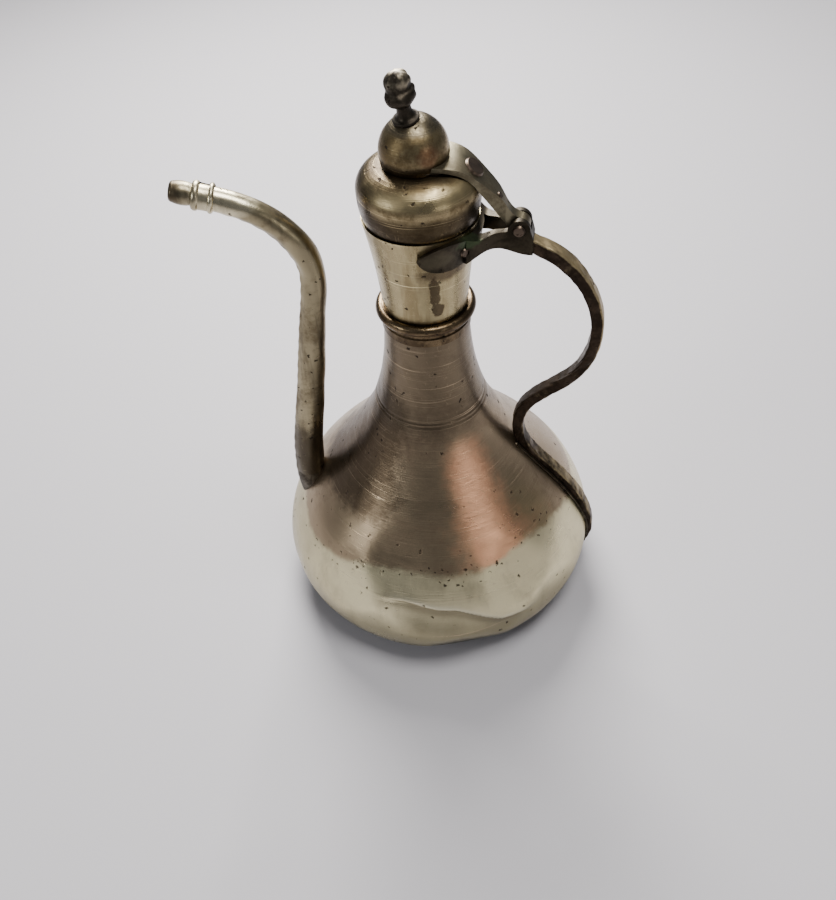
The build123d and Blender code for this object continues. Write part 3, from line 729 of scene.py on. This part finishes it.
def shell_piece(name, line, normals, whole_line, sizes, replaced, open_top):
    """Outer and inner wall of a stretch of the body, joined at its edges."""
    turns = np.linspace(0, TAU, 256, endpoint=False)[None, :]
    thin = np.r_[np.arange(0, len(line) - 1, 3), len(line) - 1]
    outer = turned(line, turns)
    around = np.broadcast_to(turns, outer.shape[:2])
    tall = np.broadcast_to(line[:, 1][:, None], outer.shape[:2])
    moved = pushed_in(outer, whole_line, around, tall, sizes)
    inner = (line - normals * sizes.wall)[thin][::-1]
    inner[:, 0] = np.maximum(inner[:, 0], 0)
    whole = np.vstack([outer + moved, turned(inner, turns) + moved[thin][::-1]])
    around = np.broadcast_to(turns, whole.shape[:2])
    height = np.broadcast_to(np.r_[line[:, 1], inner[:, 1]][:, None], whole.shape[:2])
    return grid_piece(name, whole, finish("body"), "pot", replaced,
                      loop=open_top, sharp=50, fields=wear_fields(around, height, sizes.seam))


class MakeBody(bpy.types.Operator):
    """Bowl and shoulder of the pot, as one sheet with its dents, wander and engraved lines"""

    bl_idname = "ewer.body"
    bl_label = "Pot Body"

    def execute(self, context):
        sizes = context.scene.ewer_shell
        line = body_line()
        for height in GROOVE_HEIGHTS:
            cut = hump(line[:, 1] - height, GROOVE_WIDTH) * sizes.groove
            line = line - outward(line) * cut[:, None]
        normals = outward(line)
        seam = np.searchsorted(line[:, 1], sizes.seam)
        lower = np.r_[np.arange(0, BASE_ROWS, 12), np.arange(BASE_ROWS, seam, 3), seam]
        upper = np.r_[np.arange(seam, len(line) - 1, 2), len(line) - 1]
        shell_piece("BellySheet", line[lower], normals[lower], line, sizes, ("bowl",), False)
        shell_piece("ShoulderSheet", line[upper], normals[upper], line, sizes, ("shoulder",), True)
        return {"FINISHED"}


# ------------------------------------------------------------------ spout
# centre line in the spout's own upright plane: distance from the pot's axis, and height
SPOUT_MARKS = (
    (74.0, 54.0), (77.2, 80.0), (75.8, 105.0), (68.1, 149.6), (57.8, 211.0),
    (55.6, 234.0), (61.2, 249.7), (80.2, 267.9), (103.63, 277.12),
)
SPOUT_START = (0.18, 1)
SPOUT_END = (math.cos(math.radians(16)), math.sin(math.radians(16)))
SPOUT_PLACES = (0.0, 0.12, 0.25, 0.38, 0.5, 0.62, 0.71, 0.78, 0.86, 0.94, 1.0)
SPOUT_RADII = (8.9, 8.9, 8.6, 8.1, 7.5, 6.8, 6.5, 6.4, 6.1, 5.8, 5.75)
SPOUT_ROWS = 230
SOLDER_ROWS = slice(8, 35)


def spout_line(turn):
    """Centre line of the spout and its two square directions."""
    flat = respaced(curve_through(SPOUT_MARKS, 1200, SPOUT_START, SPOUT_END), SPOUT_ROWS)
    run = headings(flat)
    out = np.array([math.cos(turn), math.sin(turn), 0])
    aside = np.array([-math.sin(turn), math.cos(turn), 0])
    up = np.array([0, 0, 1])
    centre = flat[:, :1] * out + flat[:, 1:] * up
    across = run[:, 1:] * out - run[:, :1] * up
    return centre, across, np.broadcast_to(aside, across.shape)


def tube(centre, across, aside, radius, turns):
    """Round tube: centre plus radius times cosine across and sine aside."""
    return centre[:, None] + radius[..., None] * (
        np.cos(turns)[..., None] * across[:, None] + np.sin(turns)[..., None] * aside[:, None]
    )


class MakeSpout(bpy.types.Operator):
    """Tapering spout tube with its brazed seam, and the lump of solder at its foot"""

    bl_idname = "ewer.spout"
    bl_label = "Spout"

    def execute(self, context):
        sizes = context.scene.ewer_spout
        line = spout_line(sizes.turn)
        place = np.linspace(0, 1, SPOUT_ROWS)[:, None]
        turns = np.linspace(0, TAU, 56, endpoint=False)[None, :]
        radius = np.interp(place, SPOUT_PLACES, SPOUT_RADII)
        self.pipe(line, place, turns, radius, sizes)
        self.solder([part[SOLDER_ROWS] for part in line], place[SOLDER_ROWS], turns, radius[SOLDER_ROWS])
        dress(("spout_ferrule", "spout_nozzle"), "spout")
        return {"FINISHED"}

    def pipe(self, line, place, turns, radius, sizes):
        """Skin and bore of the tube, with the seam's bead along its side."""
        seam_turn, seam_width = 0.35, 0.14
        ridge = hump(wrapped(turns - seam_turn), seam_width) * (1 + 0.3 * np.sin(place * 190))
        bead = sizes.seam * ridge * (1 - ease(place, 0.93, 0.97))
        wander = 0.22 * ripple(turns, place * 16, 12) * (1 - ease(place, 0.9, 0.97))
        skin = tube(*line, radius - 0.12 + bead + wander, turns)
        bore = tube(*line, np.broadcast_to(radius - sizes.wall, skin.shape[:2]), turns)[::-1][::4]
        grid_piece("SpoutTube", np.vstack([skin, bore]), finish("spout"), "pot",
                   ("spout_tube",), loop=True)

    def solder(self, line, place, turns, radius):
        """Lump that hugs the foot of the tube, thickest low down and towards the pot."""
        rise = (place - place[0]) / (place[-1] - place[0])
        lumps = 1 + 0.30 * ripple(turns * 2, rise * 3, 21)
        inside = 0.5 + 0.5 * np.cos(turns - math.pi)
        flare = (0.4 + 1.6 * inside) * (1 - rise) ** 1.2 * lumps + 0.2 - 0.7 * ease(rise, 0.6, 1)
        swell = tube(*line, radius + flare, turns)
        under = tube(*line, np.broadcast_to(radius - 0.6, flare.shape), turns)[::-1]
        grid_piece("SpoutSolder", np.vstack([swell, under]), finish("solder"), "pot",
                   ("spout_solder",), loop=True, sharp=70)


# ------------------------------------------------------------------ handle
# centre line of the bar in the XZ plane, then its depth along it
HANDLE_MARKS = (
    (51.6, 247.9), (63.4, 242.0), (78.2, 227.8), (87.0, 208.8), (88.0, 189.4), (79.6, 167.0),
    (65.2, 152.8), (53.6, 139.2), (50.7, 120.4), (58.4, 103.2), (73.6, 86.2), (86.9, 68.6),
    (95.2, 51.2), (98.2, 34.0), (95.4, 20.6),
)
HANDLE_START = (0.85, -0.5)
HANDLE_PLACES = (0, 0.06, 0.2, 0.4, 0.52, 0.62, 0.8, 0.95, 1)
HANDLE_DEPTHS = (6.9, 7.3, 6.6, 6.0, 6.6, 6.2, 5.6, 5.0, 3.4)
HANDLE_ROWS = 420
HANDLE_TIP = 0.012


class MakeHandle(bpy.types.Operator):
    """Forged handle bar: a squared section carried along the loop, worn bright on its back"""

    bl_idname = "ewer.handle"
    bl_label = "Handle Bar"

    def execute(self, context):
        sizes = context.scene.ewer_handle
        line = respaced(curve_through(HANDLE_MARKS, 1600, HANDLE_START), HANDLE_ROWS)
        run = headings(line)
        level = np.zeros(HANDLE_ROWS)
        back = np.stack([-run[:, 1], level, run[:, 0]], 1)
        middle = np.stack([line[:, 0], level, line[:, 1]], 1)
        aside = np.array([0.0, 1.0, 0.0])
        place = np.linspace(0, 1, HANDLE_ROWS)[:, None]
        turns = np.linspace(0, TAU, 64, endpoint=False)[None, :]
        side, rise = self.squared(np.cos(turns), sizes), self.squared(np.sin(turns), sizes)
        rough = sizes.hammered * ripple(turns * 2, place * 60, 31, 9)
        sway = 0.95 + 0.05 * np.sin(place * 31)
        half = sizes.width / 2 * sway - 0.3 * (1 - ease(place, 0, 0.05)) + rough
        tall = np.interp(place, HANDLE_PLACES, HANDLE_DEPTHS) / 2 - 0.1 + rough * 0.8
        tip = np.sqrt(np.clip((1 - place) / HANDLE_TIP, 0.0, 1))
        grid = middle[:, None] + (side * half * tip)[..., None] * aside
        grid = grid - (rise * tall * tip)[..., None] * back[:, None]
        start = np.broadcast_to(middle[0], grid[:1].shape)
        end = np.broadcast_to(middle[-1], grid[:1].shape)
        worn = self.worn(place, side, rise)
        grid_piece("HandleBar", np.vstack([start, grid, end]), finish("handle"), "pot",
                   ("handle_bar",), sharp=55, fields={"worn": np.vstack([worn[:1], worn, worn[-1:]])})
        dress(("handle_clasp",), "clasp")
        dress(("handle_solder",), "solder")
        dress(("clasp_rivets", "hinge_pin"), "rivet")
        return {"FINISHED"}

    def squared(self, wave, sizes):
        """Cosine or sine bent towards a square section."""
        return np.sign(wave) * np.abs(wave) ** (2 / sizes.squareness)

    def worn(self, place, side, rise):
        """Rubbed most on the back near the hinge, less at the low bend and along the edges."""
        share = 0.80 - 0.55 * ease(place, 0.24, 0.40) + 0.3 * plateau(place, (0.62, 0.72), (0.8, 0.95))
        return ease(-rise, 0.55, 0.98) * share + 0.12 * ease(np.abs(side), 0.7, 1)


# ------------------------------------------------------------------ collar, ring and lid
CREASE_RADIUS = 14.9
CREASE_HEIGHT = 287.7
# the two runs of solder in the crease: middle and half length, in degrees
CREASE_RUNS = ((0.0, 58.0), (203.0, 31.0))

# knob's half section along its own axis: distance from its foot, then radius
KNOB_MARKS = (
    (12.6, 0.01), (12.6, 3.2), (14.2, 3.2), (14.35, 2.3), (15.0, 2.3), (15.05, 5.9), (16.3, 6.1),
    (17.0, 5.0), (18.4, 3.8), (21.0, 3.3), (23.6, 4.1), (24.6, 6.2), (25.8, 7.35), (27.6, 7.6),
    (29.4, 6.95), (30.4, 5.95), (32.8, 5.9), (35.2, 5.4), (37.0, 3.7), (37.85, 1.4), (38.0, 0.01),
)
KNOB_STUD_MARKS = 6
KNOB_FOOT = (1.2, 292.4)
KNOB_LEAN_TURN = math.radians(230)
KNOB_LEAN = math.radians(11.3)


class MakeNeck(bpy.types.Operator):
    """Finishes of the collar, the bead ring and the sleeve below it"""

    bl_idname = "ewer.neck"
    bl_label = "Neck and Collar"

    def execute(self, context):
        dress(("collar",), "collar")
        dress(("neck_ring", "neck_sleeve"), "ring")
        return {"FINISHED"}


class MakeLid(bpy.types.Operator):
    """Lid shells, strap and rivets, and the lumpy cast knob on top"""

    bl_idname = "ewer.lid"
    bl_label = "Lid and Knob"

    def execute(self, context):
        dress(("lid_dome", "lid_ball", "lid_skirt"), "lid")
        self.crease()
        dress(("lid_strap",), "strap")
        dress(("strap_rivet", "strap_stud"), "rivet")
        self.knob()
        return {"FINISHED"}

    def crease(self):
        """Two lumps of solder in the crease: a bead round it that swells and sinks into the ball."""
        around = np.linspace(0, TAU, 200, endpoint=False)[:, None]
        turns = np.linspace(0, TAU, 14, endpoint=False)[None, :]
        swell = 0.0
        for middle, reach in CREASE_RUNS:
            off = np.degrees(np.abs(wrapped(around - math.radians(middle))))
            swell = swell + 1 - ease(off, reach - 14, reach)
        bead = 0.3 + 1.5 * swell * (1 + 0.12 * ripple(around * 6, turns, 51))
        radius = CREASE_RADIUS + bead * np.cos(turns)
        height = CREASE_HEIGHT + bead * np.sin(turns)
        grid = np.stack([radius * np.cos(around), radius * np.sin(around), height], -1)
        grid_piece("CreaseSolder", grid, finish("solder"), "lid", ("crease_solder",),
                   loop=True, sharp=80)

    def knob(self):
        """Surface of revolution about the leaning axis, with the casting's lumps pressed inward."""
        marks = np.array(KNOB_MARKS)
        stud, casting = marks[:KNOB_STUD_MARKS], marks[KNOB_STUD_MARKS - 1:]
        line = np.vstack([respaced(stud, 30), curve_through(casting, 150)[1:]])
        turns = np.linspace(0, TAU, 72, endpoint=False)[None, :]
        s, r = line[:, 0][:, None], line[:, 1][:, None]
        upper = ease(s, 23.5, 25.5)
        lumps = upper * (0.5 + 0.75 * ripple(turns, s / 6.5, 41, 5)) + 0.10 * ripple(turns * 3, s / 3, 42, 4)
        radius = np.maximum(r - np.clip(lumps, 0, 1.2) * np.minimum(r / 4, 1), 0.0)
        radius[0], radius[-1] = 0, 0
        offset, foot = KNOB_FOOT
        centre = np.array([offset * math.cos(SPOUT_TURN), offset * math.sin(SPOUT_TURN), foot])
        turn, tilt = KNOB_LEAN_TURN, KNOB_LEAN
        axis = np.array([math.sin(tilt) * math.cos(turn), math.sin(tilt) * math.sin(turn), math.cos(tilt)])
        one = np.array([-math.sin(turn), math.cos(turn), 0])
        two = np.cross(axis, one)
        spread = np.cos(turns)[..., None] * one + np.sin(turns)[..., None] * two
        grid = centre + s[..., None] * axis + radius[..., None] * spread
        # worn brighter towards the top, and a painted highlight on the side that faces the key light
        worn = 0.34 * ease(s, 30, 34) + 0.12 + 0.3 * ease(s, 31, 36) * np.cos(turns - 2.4)
        grid_piece("KnobCasting", grid, finish("finial"), "lid", ("finial",), sharp=60,
                   fields={"worn": worn})


# ------------------------------------------------------------------ stage
FLOOR_REACH = 4.0
LAMP_AIM = Vector((0, 0, 0.13))
CAMERA_PLACE = Vector((0.0738, -0.3473, 0.4860))
CAMERA_HEADING = math.radians(103.65)
CAMERA_DOWN = math.radians(47.86)
CAMERA_ROLL = math.radians(-4.7)
# name, place in metres, width, share of the key light's power, colour
LAMPS = (
    ("KeyBehind", (-0.30, 0.85, 0.95), 0.7, 1.0, (1.0, 0.97, 0.93)),
    ("SoftTop", (0.30, -0.10, 1.5), 0.6, 0.36, (1.0, 0.98, 0.95)),
    ("SideFill", (-1.0, -0.8, 0.75), 0.5, 0.10, (0.96, 0.98, 1.0)),
    ("SideGlow", (0.95, -0.76, 0.52), 0.36, 0.026, (1.0, 0.97, 0.94)),
)


class MakeStage(bpy.types.Operator):
    """Pale floor, soft studio light and the camera"""

    bl_idname = "ewer.stage"
    bl_label = "Stage"

    def execute(self, context):
        sizes = context.scene.ewer_stage
        scene = context.scene
        self.floor(scene, sizes)
        self.room(scene)
        for name, place, width, share, colour in LAMPS:
            light = bpy.data.lights.new(name, "AREA")
            light.shape = "DISK"
            light.size = width
            light.energy = sizes.key * share
            light.color = colour
            lamp = bpy.data.objects.new(name, light)
            scene.collection.objects.link(lamp)
            lamp.location = place
            aim = LAMP_AIM - Vector(place)
            lamp.rotation_euler = aim.to_track_quat("-Z", "Y").to_euler()
        self.camera(scene, sizes)
        return {"FINISHED"}

    def floor(self, scene, sizes):
        r = FLOOR_REACH
        mesh = bpy.data.meshes.new("Floor")
        mesh.from_pydata([(-r, -r, 0), (r, -r, 0), (r, r, 0), (-r, r, 0)], [], [(0, 1, 2, 3)])
        floor = bpy.data.objects.new("Floor", mesh)
        scene.collection.objects.link(floor)
        pale = bpy.data.materials.new("Pale Floor")
        pale.use_nodes = True
        shader = pale.node_tree.nodes["Principled BSDF"]
        shader.inputs["Base Color"].default_value = shade(sizes.floor)
        shader.inputs["Roughness"].default_value = 0.6
        mesh.materials.append(pale)

    def room(self, scene):
        world = bpy.data.worlds.new("Soft Room")
        scene.world = world
        world.use_nodes = True
        background = world.node_tree.nodes["Background"]
        background.inputs["Color"].default_value = (0.78, 0.80, 0.86, 1)
        background.inputs["Strength"].default_value = 0.2

    def camera(self, scene, sizes):
        """Camera turned to its heading, tipped down, then rolled about its own line of sight."""
        data = bpy.data.cameras.new("Camera")
        data.lens = sizes.lens
        data.sensor_width = 36.0
        data.clip_start = 0.01
        camera = bpy.data.objects.new("Camera", data)
        scene.collection.objects.link(camera)
        flat = math.cos(CAMERA_DOWN)
        east, north = flat * math.cos(CAMERA_HEADING), flat * math.sin(CAMERA_HEADING)
        ahead = Vector((east, north, -math.sin(CAMERA_DOWN)))
        level = ahead.cross(Vector((0, 0, 1))).normalized()
        upright = level.cross(ahead)
        right = level * math.cos(CAMERA_ROLL) + upright * math.sin(CAMERA_ROLL)
        turn = Matrix((right, right.cross(ahead), -ahead)).transposed().to_4x4()
        camera.matrix_world = Matrix.Translation(CAMERA_PLACE) @ turn
        scene.camera = camera


class EwerPanel(bpy.types.Panel):
    """Lists the pieces of the ewer"""

    bl_idname = "EWER_PT_pieces"
    bl_label = "Ewer"
    bl_space_type = "VIEW_3D"
    bl_region_type = "UI"
    bl_category = "Ewer"

    def draw(self, context):
        groups = (
            ("ewer_shell", MakeBody), ("ewer_spout", MakeSpout), ("ewer_handle", MakeHandle),
            (None, MakeNeck), (None, MakeLid), ("ewer_stage", MakeStage),
        )
        for group, maker in groups:
            box = self.layout.box()
            if group:
                sizes = getattr(context.scene, group)
                for name in sizes.__annotations__:
                    box.prop(sizes, name)
            box.operator(maker.bl_idname)


SIZE_GROUPS = {
    "ewer_shell": ShellSizes, "ewer_handle": HandleSizes,
    "ewer_spout": SpoutSizes, "ewer_stage": StageSizes,
}
MAKERS = (MakeBody, MakeSpout, MakeHandle, MakeNeck, MakeLid, MakeStage)


def register():
    for group in SIZE_GROUPS.values():
        bpy.utils.register_class(group)
    for name, group in SIZE_GROUPS.items():
        setattr(bpy.types.Scene, name, bpy.props.PointerProperty(type=group))
    for maker in MAKERS:
        bpy.utils.register_class(maker)
    bpy.utils.register_class(EwerPanel)


def unregister():
    bpy.utils.unregister_class(EwerPanel)
    for maker in reversed(MAKERS):
        bpy.utils.unregister_class(maker)
    for name, group in SIZE_GROUPS.items():
        delattr(bpy.types.Scene, name)
        bpy.utils.unregister_class(group)


def main():
    register()
    for maker in MAKERS:
        name = maker.bl_idname.split(".")[1]
        getattr(bpy.ops.ewer, name)()
    bpy.context.view_layer.update()


if __name__ == "__main__":
    main()
